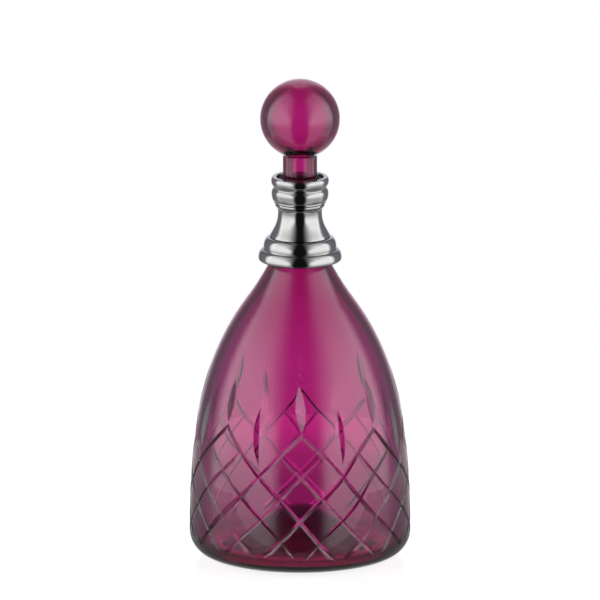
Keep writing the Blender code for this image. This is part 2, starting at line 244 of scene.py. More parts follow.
def rounded(points, radius, steps=4):
    """The outline with its corners rounded, all but its two ends and those that are given as
    (r, z, 'sharp')."""
    out = []
    for i, point in enumerate(points):
        here = Vector(point[:2])
        if len(point) == 3 or i in (0, len(points) - 1):
            out.append(tuple(here))
            continue
        before, after = Vector(points[i - 1][:2]), Vector(points[i + 1][:2])
        into, out_of = (before - here), (after - here)
        reach = min(radius, into.length * 0.45, out_of.length * 0.45)
        start, end = here + into.normalized() * reach, here + out_of.normalized() * reach
        for k in range(steps + 1):
            t = k / steps
            out.append(tuple(start * (1 - t) ** 2 + here * 2 * t * (1 - t) + end * t * t))
    return out


def radius_at(outline, height):
    """Radius at a height of an outline that runs steadily down."""
    r, z = np.array(outline).T
    return float(np.interp(height, z[::-1], r[::-1]))


def sweep_curve(b, steps):
    """Outside of the glass from the straight neck's foot down to the shoulder."""
    foot = b.shoulder_height + b.sweep_height
    handles = (
        (b.neck_radius, foot - b.sweep_upright),
        (b.shoulder_radius - b.shoulder_spread * b.sweep_straight, b.shoulder_height + b.sweep_straight),
    )
    return bezier(((b.neck_radius, foot), (b.shoulder_radius, b.shoulder_height)), handles, steps)


def belly_curve(b, steps):
    """Outside of the glass from the shoulder down to the top of the heel."""
    handles = (
        (b.shoulder_radius + b.shoulder_spread * b.straight, b.shoulder_height - b.straight),
        (b.radius, b.heel + b.upright),
    )
    return bezier(((b.shoulder_radius, b.shoulder_height), (b.radius, b.heel)), handles, steps)


class GlassSide:
    """The outside of the glass from the top of the neck to the flat of the base, read by the
    distance along it."""

    def __init__(self, body):
        line = [(body.neck_radius, top_of("bottle_glass") - LIP)]
        line += sweep_curve(body, steps=90) + belly_curve(body, steps=260)[1:]
        line += arc((body.radius - body.heel, body.heel), (body.heel, body.heel), 0, -90, steps=40)[1:]
        self.points = np.array(line)
        step = np.diff(self.points, axis=0)
        self.at = np.concatenate([[0], np.cumsum(np.hypot(step[:, 0], step[:, 1]))])
        tangent = np.gradient(self.points, self.at, axis=0)
        tangent /= np.linalg.norm(tangent, axis=1)[:, None]
        self.normals = np.stack([-tangent[:, 1], tangent[:, 0]], axis=1)

    def along(self, height):
        """Distance along the side at a height."""
        return float(np.interp(-height, -self.points[:, 1], self.at))

    def place(self, s, depth=0.0):
        """(radius, height) at a distance along the side and a depth into the glass."""
        point = [np.interp(s, self.at, self.points[:, k]) for k in (0, 1)]
        normal = [np.interp(s, self.at, self.normals[:, k]) for k in (0, 1)]
        return point[0] - depth * normal[0], point[1] - depth * normal[1]


# ---- node trees and meshes


def put(tree, socket, value):
    """Links a socket to another, or sets its value."""
    if isinstance(value, bpy.types.NodeSocket):
        tree.links.new(value, socket)
    else:
        socket.default_value = value


def fill(tree, node, **values):
    """Sets or links some inputs of a node. An underscore stands for a space in their names."""
    for key, value in values.items():
        put(tree, node.inputs[key.replace("_", " ")], value)
    return node


def add(tree, kind, **values):
    """A new node with some of its inputs set or linked."""
    return fill(tree, tree.nodes.new(kind), **values)


def maths(tree, operation, *values):
    """What a maths node makes of its values."""
    node = tree.nodes.new("ShaderNodeMath")
    node.operation = operation
    for socket, value in zip(node.inputs, values):
        put(tree, socket, value)
    return node.outputs[0]


def new_group(name, kind, inputs, output_kinds):
    """A node group and its two ends. An input is given as its default or the kind of its
    socket."""
    tree = bpy.data.node_groups.new(name, kind)
    for label, given in inputs.items():
        sort = given if isinstance(given, str) else "Float"
        socket = tree.interface.new_socket(label, in_out="INPUT", socket_type="NodeSocket" + sort)
        if sort != given:
            socket.default_value = given
    for label, sort in output_kinds.items():
        tree.interface.new_socket(label, in_out="OUTPUT", socket_type="NodeSocket" + sort)
    return tree, tree.nodes.new("NodeGroupInput").outputs, tree.nodes.new("NodeGroupOutput")


def repeat_tree():
    """Geometry Nodes: one sector repeated round the Z axis, joined into one surface."""
    name = "Repeat round the axis"
    if name in bpy.data.node_groups:
        return bpy.data.node_groups[name]
    inputs = {"Sector": "Geometry", "Copies": "Int", "Seam": SEAM, "Finish": "Material"}
    tree, given, made = new_group(name, "GeometryNodeTree", inputs, {"Piece": "Geometry"})
    points = add(tree, "GeometryNodePoints", Count=given["Copies"])
    index = tree.nodes.new("GeometryNodeInputIndex")
    step = maths(tree, "DIVIDE", math.tau, given["Copies"])
    turn = add(tree, "ShaderNodeCombineXYZ", Z=maths(tree, "MULTIPLY", index.outputs[0], step))
    copies = add(
        tree, "GeometryNodeInstanceOnPoints", Points=points.outputs[0], Instance=given["Sector"],
        Rotation=turn.outputs[0],
    )
    real = add(tree, "GeometryNodeRealizeInstances", Geometry=copies.outputs[0])
    join = add(
        tree, "GeometryNodeMergeByDistance", Geometry=real.outputs[0], Distance=given["Seam"]
    )
    finish = add(
        tree, "GeometryNodeSetMaterial", Geometry=join.outputs[0], Material=given["Finish"]
    )
    tree.links.new(finish.outputs[0], made.inputs[0])
    return tree


def repeated(name, sector, copies, material):
    """A plain object made of copies of a sector mesh round the Z axis, closed, with its faces
    pointing out."""
    obj = bpy.data.objects.new(name, sector)
    bpy.context.scene.collection.objects.link(obj)
    tree = repeat_tree()
    modifier = obj.modifiers.new("Repeat", "NODES")
    modifier.node_group = tree
    values = {"Copies": copies, "Seam": SEAM, "Finish": material}
    for item in tree.interface.items_tree:
        if item.name in values and item.in_out == "INPUT":
            modifier[item.identifier] = values[item.name]
    graph = bpy.context.evaluated_depsgraph_get()
    whole = bpy.data.meshes.new_from_object(obj.evaluated_get(graph))
    obj.modifiers.clear()
    obj.data = whole
    whole.name = name
    bpy.data.meshes.remove(sector)
    close_up(whole)
    return obj


def close_up(mesh):
    """Turns a closed mesh's faces outwards, shades it smooth and keeps its creases."""
    bm = bmesh.new()
    bm.from_mesh(mesh)
    bmesh.ops.dissolve_degenerate(bm, edges=bm.edges, dist=SEAM / 4)
    bmesh.ops.recalc_face_normals(bm, faces=bm.faces)
    open_edges = sum(not edge.is_manifold for edge in bm.edges)
    bm.to_mesh(mesh)
    bm.free()
    if open_edges:
        raise RuntimeError(f"{mesh.name} has {open_edges} open edges")
    mesh.shade_smooth()
    mesh.set_sharp_from_angle(angle=CREASE)


def swept(line, angles, points, faces):
    """Adds the points and faces that a line of (radius, height) sweeps through the angles. A
    place on the axis is one point."""
    rows = []
    for r, z in line:
        start = len(points)
        if abs(r) < SEAM:
            points.append((0.0, 0.0, z))
            rows.append([start] * len(angles))
        else:
            points += [(r * math.cos(a), r * math.sin(a), z) for a in angles]
            rows.append(range(start, len(points)))
    for upper, lower in zip(rows, rows[1:]):
        for k in range(len(angles) - 1):
            corners = list(dict.fromkeys((upper[k], upper[k + 1], lower[k + 1], lower[k])))
            if len(corners) > 2:
                faces.append(corners)


def turned(name, outline, material, closed=True, sides=192):
    """A piece turned from an outline of (radius, height). An open outline starts and ends on
    the axis."""
    half = math.pi / sides
    points, faces = [], []
    swept(list(outline) + ([outline[0]] if closed else []), (-half, half), points, faces)
    sector = bpy.data.meshes.new(name)
    sector.from_pydata(points, [], faces)
    return repeated(name, sector, sides, material)


# ---- the cut pattern


class Sector:
    """One sector of the pattern, flat: u runs across it from -1 to 1, v down it in rows from
    the topmost crossings. A groove's number is where it meets row 0, in u; even ones are wide
    and start there, and odd ones are narrow and start half a row down."""

    BELT = 0.96  # radius at the pattern, over the widest
    BLUNT, WIDENING = 0.55, 0.45  # share of its width that a groove starts with, and gains
    LEAD = 0.05  # rows above its start where a groove begins to widen
    OPENING = 0.25  # rows in which it widens
    OVERRUN = 0.075  # rows above its start that it reaches
    FLARE = 0.5  # share of its width that it gains again near its foot
    FLARE_FROM, FLARE_ROWS = 0.45, 0.4  # rows above its foot where that begins, rows it takes
    SHORT = 0.004  # rows by which the lines that follow it stop short of its foot
    PAST = 1.2  # crossings this far across are still followed
    LINES = range(-5, 6)  # grooves that can pass through the sector
    SIDES = (-1, 0, 1)  # a cut's two edges and its bottom
    LOOSE_END = 0.985  # how far across the loose points go
    KEEP_OFF = 0.36  # of a column, from a loose point to a crease
    SAME = 1e-5  # points nearer than this in the flat pattern are one

    def __init__(self, body, cuts):
        self.body, self.cuts = body, cuts
        self.side = GlassSide(body)
        self.first = self.side.along(cuts.first_row)
        self.half_turn = math.pi / cuts.sectors
        self.across = self.half_turn * self.BELT * body.radius  # length of one u
        self.square = 1 / math.hypot(1 / self.across, 1 / cuts.pitch)  # between parallel grooves
        self.wide = cuts.wide_groove / 2 / self.square
        self.narrow = cuts.narrow_groove / 2 / self.square
        self.leaves = [self.leaf(0.0, cuts.high_leaf, cuts.high_leaf_length)]
        low = (cuts.low_leaf, cuts.low_leaf_length)
        self.leaves += [self.leaf(-1.0, *low), self.leaf(1.0, *low)]

    def row(self, height):
        """The row, with its fraction, that a height falls in."""
        return (self.side.along(height) - self.first) / self.cuts.pitch

    def leaf(self, u, height, span):
        """(centre across, row of its middle, half its length in rows)."""
        return u, self.row(height), span / 2 / self.cuts.pitch

    def groove_half(self, line, v):
        """Half width, across its run, of the groove of that number where it passes row v."""
        wide, end = np.mod(line, 2) == 0, self.cuts.end_row
        full = np.where(wide, self.wide, self.narrow)
        start = np.where(wide, 0.0, 0.5)
        opening = np.clip((v - start + self.LEAD) / self.OPENING, 0, 1) ** 0.5
        closing = np.clip((end - v) / self.cuts.run_out, 0, 1) ** 0.6
        flare = 1 + self.FLARE * np.clip((v - end + self.FLARE_FROM) / self.FLARE_ROWS, 0, 1) ** 2
        begun = v >= start - self.OVERRUN
        return full * (self.BLUNT + self.WIDENING * opening) * closing * flare * begun

    def depth(self, u, v):
        """Depth of the cuts at a place, the deepest of those that pass there."""
        found = np.zeros_like(u)
        for across in (u - v, u + v):
            line = np.round(across)
            half = self.groove_half(line, v)
            found = np.maximum(found, (half - np.abs(across - line)) * self.square)
        for centre, middle, reach in self.leaves:
            t = (v - middle) / reach
            half = self.cuts.leaf / 2 * np.clip(1 - t * t, 0, 1)
            leaf = half - np.abs(u - centre) * self.across
            found = np.maximum(found, leaf * self.cuts.leaf_bevel / self.cuts.bevel)
        return self.cuts.bevel * np.clip(found, 0, None)

    def creases(self):
        """Lines of the pattern that the mesh follows, each a list of (u, v)."""
        lines = [
            self.groove_line(number, lean, side)
            for number in self.LINES for lean in (-1, 1) for side in self.SIDES
        ]
        lines += [self.leaf_line(*leaf, side) for leaf in self.leaves for side in self.SIDES]
        return lines + self.crossings()

    def groove_line(self, number, lean, side):
        """Bottom (side 0) or edge of one groove, which leans to the left or the right."""
        v = np.linspace(0.0 if number % 2 == 0 else 0.5, self.cuts.end_row - self.SHORT, 40)
        offset = side * self.groove_half(np.full_like(v, number), v)
        return list(zip(number + offset + lean * v, v))

    def leaf_line(self, centre, middle, reach, side):
        """Bottom or edge of a leaf cut, nearly from tip to tip."""
        t = np.linspace(-0.995, 0.995, 25)
        half = self.cuts.leaf / 2 / self.across * (1 - t * t)
        return list(zip(centre + side * half, middle + t * reach))

    def crossings(self):
        """Creases where two grooves meet: from the crossing out to the corners of the cut."""
        lines = []
        for p in range(-6, 6):
            for q in range(-6, 7):
                u, v = self.flat(p, q)
                if abs(u) > self.PAST or not 0 <= v <= self.cuts.end_row:
                    continue
                h1 = float(self.groove_half(np.array(p), np.array(v)))
                h2 = float(self.groove_half(np.array(q), np.array(v)))
                if h1 <= 0 or h2 <= 0:
                    continue
                for i in (-1, 1):
                    for j in (-1, 1):
                        inner = (i * max(h1 - h2, 0), j * max(h2 - h1, 0))
                        outer = (i * h1, j * h2)
                        lines.append([self.flat(p + a, q + b) for a, b in (inner, outer)])
        return lines

    @staticmethod
    def flat(p, q):
        """Where the grooves of two numbers cross, in u and v."""
        return (p + q) / 2, (q - p) / 2

    def meshed(self, top, bottom):
        """Points (u, v) and triangles of the patterned band between two rows. Loose points
        stand in staggered rows wherever no crease is near."""
        columns = self.cuts.columns
        rows = round((bottom - top) * self.cuts.pitch / (2 * self.across / columns))
        across = np.linspace(-1, 1, columns + 1)
        down = np.linspace(top, bottom, rows + 1)
        segments = []
        for a, b in zip(across, across[1:]):
            segments += [((a, top), (b, top)), ((a, bottom), (b, bottom))]
        for a, b in zip(down, down[1:]):
            segments += [((-1.0, a), (-1.0, b)), ((1.0, a), (1.0, b))]
        for line in self.creases():
            segments += clipped(line, top, bottom)
        loose = []
        for i, v in enumerate(down[1:-1]):
            places = across[:-1] + (across[1] - across[0]) * 0.5 * (i % 2)
            loose += [(u, v) for u in places if abs(u) < self.LOOSE_END]
        loose = self.away_from_creases(loose, segments)
        points, edges = [], []
        for a, b in segments:
            points += [a, b]
            edges.append((len(points) - 2, len(points) - 1))
        points += loose
        result = delaunay_2d_cdt([Vector(p) for p in points], edges, [], 0, self.SAME)
        return np.array([tuple(p) for p in result[0]]), result[2]

    def away_from_creases(self, loose, segments):
        """Only those points that keep their distance from every crease."""
        keep_off = self.KEEP_OFF * 2 / self.cuts.columns
        points = np.array(loose)
        clear = np.ones(len(points), bool)
        for a, b in segments:
            a, b = np.array(a), np.array(b)
            span = b - a
            t = np.clip(((points - a) @ span) / max(span @ span, 1e-12), 0, 1)
            clear &= np.linalg.norm(points - a - t[:, None] * span, axis=1) > keep_off
        return [tuple(p) for p in points[clear]]


def clipped(line, top, bottom):
    """The parts of the line's segments that lie inside the sector."""
    parts = [clip_segment(a, b, ((-1.0, 1.0), (top, bottom))) for a, b in zip(line, line[1:])]
    return [part for part in parts if part]


def clip_segment(a, b, limits):
    """The part of a segment inside the limits of u and v, or None."""
    start, end = 0.0, 1.0
    for k, (low, high) in enumerate(limits):
        span = b[k] - a[k]
        if abs(span) < 1e-12:
            if not low <= a[k] <= high:
                return None
            continue
        t0, t1 = sorted(((low - a[k]) / span, (high - a[k]) / span))
        start, end = max(start, t0), min(end, t1)
    if end - start < 1e-6:
        return None
    return tuple(tuple(a[k] + t * (b[k] - a[k]) for k in (0, 1)) for t in (start, end))


def mound(share):
    """Height of a round mound: 1 in its middle and 0 at its edge, where the share is 1."""
    return (1 + math.cos(math.pi * share)) / 2


def body_lines(sector, top, bottom):
    """The outlines above and below the patterned band, and the inside, each a list of
    (radius, height): above runs from the rim down to the band, below from the band to the
    foot's middle, and inside from the floor's middle up to the rim."""
    body, side, pitch = sector.body, sector.side, sector.cuts.pitch
    band_top, band_bottom = sector.first + top * pitch, sector.first + bottom * pitch
    rim = top_of("bottle_glass") - LIP
    lip = arc((body.neck_radius - LIP, rim), (LIP, LIP), 90, 0, 3)[:-1]
    neck_foot = side.along(body.shoulder_height + body.sweep_height)
    above_s = list(np.linspace(0, neck_foot, 6)[:-1]) + list(np.linspace(neck_foot, band_top, 60))
    above = lip + [side.place(s) for s in above_s]
    below = [side.place(s) for s in np.linspace(band_bottom, side.at[-1], 12)]
    below += [(r, 0.0) for r in np.linspace(body.radius - body.heel, body.foot_radius, 5)[1:]]
    for share in np.linspace(1, 0, 20)[1:]:
        below.append((body.foot_radius * share, body.foot_hollow * mound(share)))
    return above, below, inside_line(body, side) + above[:1]


def wall_along(body, side):
    """Distances along the side, and the glass's thickness at each."""
    wall_at = {
        body.shoulder_height + body.sweep_height: body.neck_radius - body.neck_bore,
        0.150: body.shoulder_wall,  # under the collar
        0.105: body.belly_wall,  # from here down to the next it stays the same
        0.085: body.belly_wall,
        0.022: body.low_wall,  # above the floor's corner
    }
    return [side.along(height) for height in wall_at], list(wall_at.values())


def eased(x, knots, values):
    """The value at x, easing from each knot to the next."""
    k = min(max(int(np.searchsorted(knots, x)) - 1, 0), len(knots) - 2)
    t = min(max((x - knots[k]) / (knots[k + 1] - knots[k]), 0.0), 1.0)
    return values[k] + (values[k + 1] - values[k]) * t * t * (3 - 2 * t)


def inside_line(body, side):
    """Inside of the glass from the floor's middle up to the rim."""
    floor_end = body.radius - body.low_wall - body.floor_corner
    shares = [k / 18 for k in range(18)]
    floor = [(floor_end * k, body.floor + body.floor_rise * mound(k)) for k in shares]
    corner_centre = (floor_end, body.floor + body.floor_corner)
    corner = arc(corner_centre, (body.floor_corner,) * 2, -90, 0, 14)
    knots, walls = wall_along(body, side)
    start = side.along(corner_centre[1] + 0.001)  # just above the corner
    wall = [side.place(s, eased(s, knots, walls)) for s in np.linspace(start, knots[0], 80)]
    rim = top_of("bottle_glass") - LIP
    bore = [(body.neck_bore, z) for z in np.linspace(wall[-1][1], rim, 8)[1:]]
    lip = arc((body.neck_bore + LIP, rim), (LIP, LIP), 180, 90, 3)[1:]
    return floor + corner + wall + bore + lip


def point_values(mesh, name):
    """What the mesh's points keep under a name."""
    values = np.zeros(len(mesh.vertices), np.float32)
    mesh.attributes[name].data.foreach_get("value", values)
    return values


def sines(angle, row, *waves):
    """Sum of waves round the body, each (size, waves in a turn, turn per row, start)."""
    return sum(size * np.sin(angle * n + row * lean + start) for size, n, lean, start in waves)


def strayed(mesh, sector, wander):
    """Moves the cut side's points a little along and round the glass, and in and out where it
    is cut, as hand cutting strays."""
    co = np.zeros(len(mesh.vertices) * 3, np.float32)
    mesh.vertices.foreach_get("co", co)
    co = co.reshape(-1, 3).astype(float)
    s, depth = point_values(mesh, "along"), point_values(mesh, "cut_depth")
    cut_side = s > 0
    angle = np.arctan2(co[:, 1], co[:, 0])
    row = (s - sector.first) / sector.cuts.pitch
    # none well above the cuts nor below their foot
    fade = np.clip((row + 1.4) / 0.4, 0, 1) * np.clip((3.05 - row) / 0.15, 0, 1)
    down = wander * fade * sines(
        angle, row, (1.0, 2, 0.0, 0.7), (0.7, 5, 1.3, 2.1), (0.5, 9, -2.1, 0.0)
    )
    across = 1.6 * wander / sector.body.radius * fade * sines(
        angle, row, (1.0, 3, 1.1, 0.4), (0.8, 7, -1.7, 1.2)
    )
    weight = 1 + sines(angle, row, (0.18, 6, 2.3, 0.9), (0.14, 11, -3.1, 0.0))
    r, z = sector.side.place(s + down, depth * weight)
    turn = angle + across
    moved = np.stack([r * np.cos(turn), r * np.sin(turn), z], axis=1)
    co[cut_side] = moved[cut_side]
    mesh.vertices.foreach_set("co", co.astype(np.float32).ravel())
    mesh.update()


def cut_sector_mesh(body, cuts):
    """One sector of the body: the cut band, the plain glass above and below it, the foot, the
    inside and the rim. The band's points keep how far along the side they are and how deep the
    cut is; the others have -1 and 0."""
    sector = Sector(body, cuts)
    # the band runs from a little above the high leaves to a little below the grooves' feet
    top = sector.row(cuts.high_leaf) - cuts.high_leaf_length / 2 / cuts.pitch - 0.12
    bottom = cuts.end_row + 0.06
    flat, triangles = sector.meshed(top, bottom)
    depth = sector.depth(flat[:, 0], flat[:, 1])
    s = sector.first + flat[:, 1] * cuts.pitch
    r, z = sector.side.place(s, depth)
    angle = flat[:, 0] * sector.half_turn
    points = list(zip(r * np.cos(angle), r * np.sin(angle), z))
    faces = [list(t) for t in triangles]
    angles = np.linspace(-1, 1, cuts.columns + 1) * sector.half_turn
    for line in body_lines(sector, top, bottom):
        swept(line, angles, points, faces)
    mesh = bpy.data.meshes.new("cut_sector")
    mesh.from_pydata(points, [], faces)
    plain = np.ones(len(points) - len(flat))
    for name, values, elsewhere in (("along", s, -1.0), ("cut_depth", depth, 0.0)):
        values = np.append(values, plain * elsewhere).astype(np.float32)
        mesh.attributes.new(name, "FLOAT", "POINT").data.foreach_set("value", values)
    return mesh, sector


# ---- materials


def spread(tree, value, low, high, to_low=0.0, to_high=1.0):
    """Eases from to_low to to_high as the value goes from low to high."""
    node = add(tree, "ShaderNodeMapRange", Value=value)
    node.interpolation_type = "SMOOTHSTEP"
    fill(tree, node, From_Min=low, From_Max=high, To_Min=to_low, To_Max=to_high)
    return node.outputs["Result"]


def between(tree, factor, first, second):
    """A value between two others."""
    return add(tree, "ShaderNodeMix", Factor=factor, A=first, B=second).outputs["Result"]


def mixed(tree, factor, first, second):
    """A colour between two others, which may be (r, g, b) or a socket."""
    node = add(tree, "ShaderNodeMix", Factor=factor)
    node.data_type = "RGBA"
    for key, colour in (("A", first), ("B", second)):
        linked = isinstance(colour, bpy.types.NodeSocket)
        put(tree, node.inputs[key], colour if linked else (*colour, 1.0))
    return node.outputs["Result"]


def coordinates(tree, kind="Object"):
    """Where a shaded point lies; for the world, the direction looked in."""
    return tree.nodes.new("ShaderNodeTexCoord").outputs[kind]


def noise(tree, place, scale, detail, **values):
    """A cloudy mask from 0 to 1."""
    node = add(tree, "ShaderNodeTexNoise", Vector=place, Scale=scale, Detail=detail, **values)
    return node.outputs["Fac"]


def new_material(name, **values):
    """A material with some of its shader's inputs set."""
    material = bpy.data.materials.new(name)
    material.use_nodes = True
    tree = material.node_tree
    return material, tree, fill(tree, tree.nodes["Principled BSDF"], **values)


def handling_marks():
    """Shader group: wiping smudges and fine scratches over a polished surface, as a roughness
    and a mask, from Object coordinates."""
    name = "Handling marks"
    if name in bpy.data.node_groups:
        return bpy.data.node_groups[name]
    inputs = {"Clean": 0.02, "Smudged": 0.08, "Smudge size": 60.0, "Scratches": 0.3}
    outputs = {"Roughness": "Float", "Smudges": "Float"}
    tree, given, made = new_group(name, "ShaderNodeTree", inputs, outputs)
    place = coordinates(tree)
    smudges = spread(tree, noise(tree, place, given["Smudge size"], 4.0), 0.48, 0.72)
    scratch = spread(tree, noise(tree, place, 900.0, 2.0, Distortion=0.4), 0.62, 0.70)
    scratch = maths(tree, "MULTIPLY", scratch, given["Scratches"])
    worn = maths(tree, "MAXIMUM", smudges, scratch)
    room = maths(tree, "SUBTRACT", given["Smudged"], given["Clean"])
    rough = maths(tree, "MULTIPLY_ADD", worn, room, given["Clean"])
    fill(tree, made, Roughness=rough, Smudges=smudges)
    return tree


def surface_waves():
    """Shader group: the slow unevenness of a worked surface and fine lines round the axis, as
    heights for a bump."""
    name = "Surface waves"
    if name in bpy.data.node_groups:
        return bpy.data.node_groups[name]
    inputs = {"Wave size": 30.0, "Lines": 0.0, "Line spacing": 2500.0}
    tree, given, made = new_group(name, "ShaderNodeTree", inputs, {"Height": "Float"})
    place = coordinates(tree)
    apart = add(tree, "ShaderNodeSeparateXYZ", Vector=place).outputs
    squares = [maths(tree, "POWER", apart[axis], 2.0) for axis in "XY"]
    out = maths(tree, "POWER", maths(tree, "ADD", *squares), 0.5)
    run = add(tree, "ShaderNodeCombineXYZ", X=out, Y=apart["Z"]).outputs[0]
    fine = noise(tree, run, given["Line spacing"], 1.0)
    lines = maths(tree, "MULTIPLY", fine, given["Lines"])
    fill(tree, made, Height=maths(tree, "ADD", noise(tree, place, given["Wave size"], 1.0), lines))
    return tree


def grouped(tree, group, **values):
    """What a node group puts out, with some of its inputs set."""
    node = tree.nodes.new("ShaderNodeGroup")
    node.node_tree = group
    return fill(tree, node, **values).outputs


def bump(tree, height, strength, distance):
    values = {"Height": height, "Strength": strength, "Distance": distance}
    return add(tree, "ShaderNodeBump", **values).outputs[0]


def plum_glass(f, cut):
    """Clear glass coloured in its depth, with a painted violet edge light where an upright side is
    seen edge on, and a faint soft sheen. The cut body also has the wheel's duller polish in its grooves."""
    material, tree, shader = new_material(
        "cut_plum_glass" if cut else "plum_glass", Transmission_Weight=1.0, IOR=1.5,
        Coat_Weight=0.28, Coat_Roughness=0.36,
    )
    marks = grouped(
        tree, handling_marks(), Clean=0.0, Smudged=0.035, Smudge_size=45.0, Scratches=0.15
    )
    rough = marks["Roughness"]
    if cut:
        depth = tree.nodes.new("ShaderNodeAttribute")
        depth.attribute_name = "cut_depth"
        inside = spread(tree, depth.outputs["Fac"], 0.0, 0.00008)
        rough = maths(tree, "MULTIPLY_ADD", inside, 0.03, rough)
    waves = grouped(tree, surface_waves(), Wave_size=38.0)
    # painted edge light: the base colour turns violet where an upright side is seen edge on, standing in
    # for reflected light
    facing = add(tree, "ShaderNodeLayerWeight", Blend=0.5).outputs["Facing"]
    normal = tree.nodes.new("ShaderNodeNewGeometry").outputs["Normal"]
    level = maths(tree, "ABSOLUTE", add(tree, "ShaderNodeSeparateXYZ", Vector=normal).outputs["Z"])
    upright = spread(tree, level, 0.45, 0.8, 1.0, 0.0)
    edge_light_mask = maths(tree, "MULTIPLY", spread(tree, facing, 0.22, 0.75), upright)
    smudged = mixed(tree, marks["Smudges"], WHITE, (0.97, 0.955, 0.965))
    fill(
        tree, shader, Roughness=rough, Normal=bump(tree, waves["Height"], 0.12, 0.0004),
        Base_Color=mixed(tree, edge_light_mask, smudged, f.flash),
    )
    colour = add(
        tree, "ShaderNodeVolumeAbsorption", Color=(*f.glass_colour, 1.0), Density=f.glass_depth
    )
    fill(tree, tree.nodes["Material Output"], Volume=colour.outputs[0])
    return material


def polished_metal(f):
    """Bright plated metal with faint turning lines and the haze of handling."""
    material, tree, shader = new_material("polished_metal", Metallic=1.0)
    marks = grouped(
        tree, handling_marks(), Clean=0.085, Smudged=0.13, Smudge_size=140.0, Scratches=0.35
    )
    waves = grouped(tree, surface_waves(), Wave_size=90.0, Lines=0.25, Line_spacing=2600.0)
    hazy = [c * 0.93 for c in f.metal]
    fill(
        tree, shader, Roughness=marks["Roughness"],
        Base_Color=mixed(tree, marks["Smudges"], f.metal, hazy),
        Normal=bump(tree, waves["Height"], 0.05, 0.0002),
    )
    return material


def matt(name, colour, rough, grain, depth):
    """A dull piece with a fine grain in its colour and surface."""
    material, tree, shader = new_material(name)
    grains = noise(tree, coordinates(tree), grain, 5.0)
    fill(
        tree, shader, Base_Color=mixed(tree, grains, colour, [c * 0.85 for c in colour]),
        Roughness=spread(tree, grains, 0.3, 0.7, rough, rough + 0.12),
        Normal=bump(tree, grains, 0.4, depth),
    )
    return material


def floor_material(f):
    """A pale floor with a faint reflection, which glows. The camera sees it evenly bright. To other rays
    its glow is a painted shadow, dark about the bottle, but for a painted pool of light in a ring under
    the foot, standing in for light carried down through the glass, and for its far parts, which come up
    to meet the backdrop."""
    material, tree, shader = new_material(
        "studio_floor", Base_Color=(*f.floor, 1.0), Roughness=0.12, Specular_IOR_Level=0.25,
        Emission_Color=(*WHITE, 1.0),
    )
    place = coordinates(tree)
    away = add(tree, "ShaderNodeVectorMath", Vector=place)
    away.operation = "LENGTH"
    away = away.outputs["Value"]
    aside = maths(
        tree, "ABSOLUTE", add(tree, "ShaderNodeSeparateXYZ", Vector=place).outputs["X"]
    )
    bearing = maths(tree, "DIVIDE", aside, away)
    rays = tree.nodes.new("ShaderNodeLightPath").outputs
    # painted pool of light under the foot: a ring about as wide as the one that the bottle stands on, in
    # metres from the axis
    inner, outer = spread(tree, away, 0.034, 0.038), spread(tree, away, 0.045, 0.052, 1.0, 0.0)
    foot = maths(tree, "MULTIPLY", inner, outer)
    # painted light: how brightly the floor glows where rays through the glass see it, behind and beside
    # the bottle
    behind, beside = spread(tree, bearing, 0.15, 0.5, 1.0, 0.4), spread(tree, bearing, 0.9, 1.0)
    through = maths(tree, "MAXIMUM", behind, beside)
    reflected = spread(tree, aside, 0.06, 0.16, 1.0, 0.25)
    lit = between(tree, rays["Is Transmission Ray"], reflected, through)
    # painted shadow: the glow fades to dark towards the bottle
    clear = maths(tree, "POWER", spread(tree, away, 0.06, 0.3), 2.5)
    clear = maths(tree, "MULTIPLY", clear, lit)
    # the glow that other rays see: painted shadow about the bottle plus the painted pool of light under
    # its foot
    shaded = maths(tree, "MULTIPLY_ADD", foot, 0.6, maths(tree, "MULTIPLY_ADD", clear, 0.85, 0.1))
    fill(tree, shader, Emission_Strength=between(tree, rays["Is Camera Ray"], shaded, 0.81))
    return material


# ---- placing


def finished(obj, body, slot, *nodes):
    """Makes the piece ride on its body in place of its CAD nodes."""
    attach(obj, body)
    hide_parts(*nodes)


class Builder:
    """What the builders share: each builds its pieces from all the settings."""

    def execute(self, context):
        self.build(context.scene.perfume_bottle)
        return {"FINISHED"}


class BuildBody(Builder, Operator):
    """Build the cut-glass body"""

    bl_idname = "perfume.body"
    bl_label = "Cut-Glass Body"

    def build(self, s):
        mesh, sector = cut_sector_mesh(s.body, s.cuts)
        glass = repeated("cut_glass_body", mesh, s.cuts.sectors, plum_glass(s.finishes, cut=True))
        strayed(glass.data, sector, s.cuts.wander)
        glass.data.transform(Matrix.Rotation(s.cuts.turn - math.pi / 2, 4, "Z"))
        glass.data.attributes.remove(glass.data.attributes["along"])
        glass.data.set_sharp_from_angle(angle=CREASE)
        finished(glass, "bottle", "plum_glass", "bottle_glass")


REGISTER_WALL = 0.0011  # of the base ring's rim, which stands up inside the bell
REGISTER_FOOT = 0.0103  # height above the ring's foot at which that rim starts
RING_BORE = 0.0065  # height of the base ring's straight bore
CHAMFER = 0.0003  # of small turned edges


def base_ring_outline(b, c):
    """Flange and lower bead from the rim inside the bell, down the outside and up the bore."""
    low, high = span_of("collar_base_ring")
    ledge = foot_of("collar_bell") - GAP
    ledge_radius = radius_of("collar_bell") + GAP / 3
    root = ledge_radius + c.bead_width
    edge = (0.001, 0.00135)  # round of the flange's edge
    bore = radius_at(sweep_curve(b, CURVE_STEPS), low) + GAP
    register = radius_at(bell_bore(b, c), high) - GAP
    register_bore = register - REGISTER_WALL
    outline = [(register_bore, high), (register, high), (register, ledge)]
    outline += [(ledge_radius - 0.0002, ledge)]
    outline += arc((ledge_radius, ledge - c.bead_height), (c.bead_width, c.bead_height), 88, -6, 22)
    outline += arc((root, low + edge[1]), (c.flange_width, c.flange_height - edge[1]), 82, 0, 18)
    outline += arc((root + c.flange_width - edge[0], low + edge[1]), edge, 0, -90, 8)[1:]
    outline += [(bore + CHAMFER, low), (bore, low + CHAMFER), (bore, low + RING_BORE)]
    outline += [(register_bore, low + REGISTER_FOOT)]
    return outline


